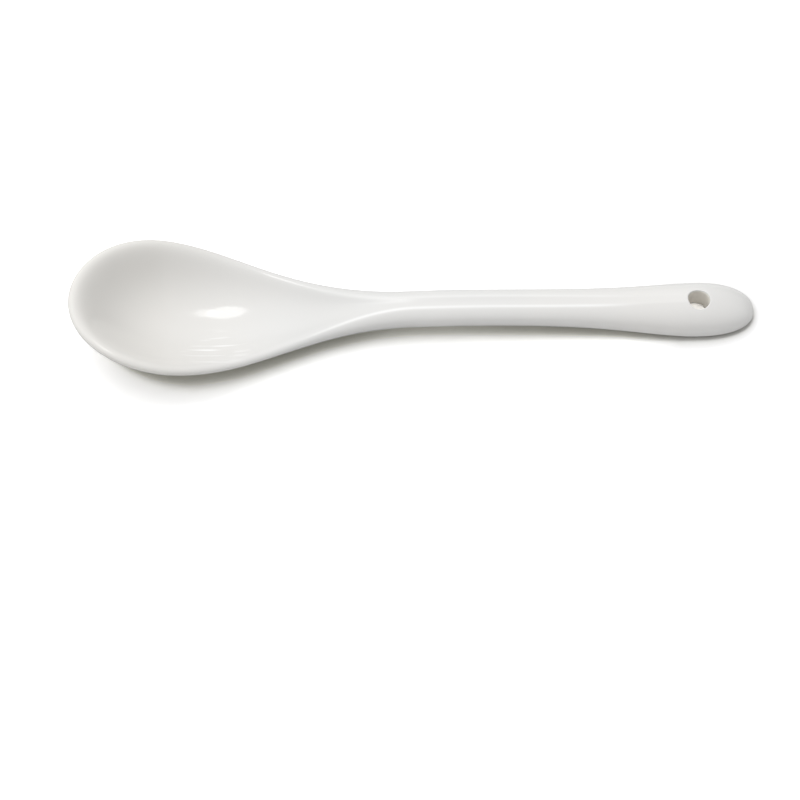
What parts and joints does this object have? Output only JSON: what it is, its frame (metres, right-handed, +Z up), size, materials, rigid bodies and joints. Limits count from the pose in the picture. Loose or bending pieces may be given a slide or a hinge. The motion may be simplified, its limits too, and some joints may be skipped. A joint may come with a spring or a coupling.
{
  "type": "ceramic spoon",
  "caption": "Glazed white porcelain spoon with an egg-shaped bowl, a slim ridged handle and a rounded paddle end pierced by a hanging hole.",
  "frame": {"origin": "middle of the spoon's length and width, on the table it lies on", "axes": "+X from the bowl tip to the handle end, +Y across the spoon, +Z up out of the bowl"},
  "size_m": [0.14, 0.0318, 0.0126],
  "materials": {
    "porcelain": "matt fired porcelain, bare",
    "glaze": "clear glossy glaze over white porcelain"
  },
  "bodies": {
    "root": {"porcelain_body": "porcelain", "glaze_coat": "glaze"}
  },
  "joints": []
}
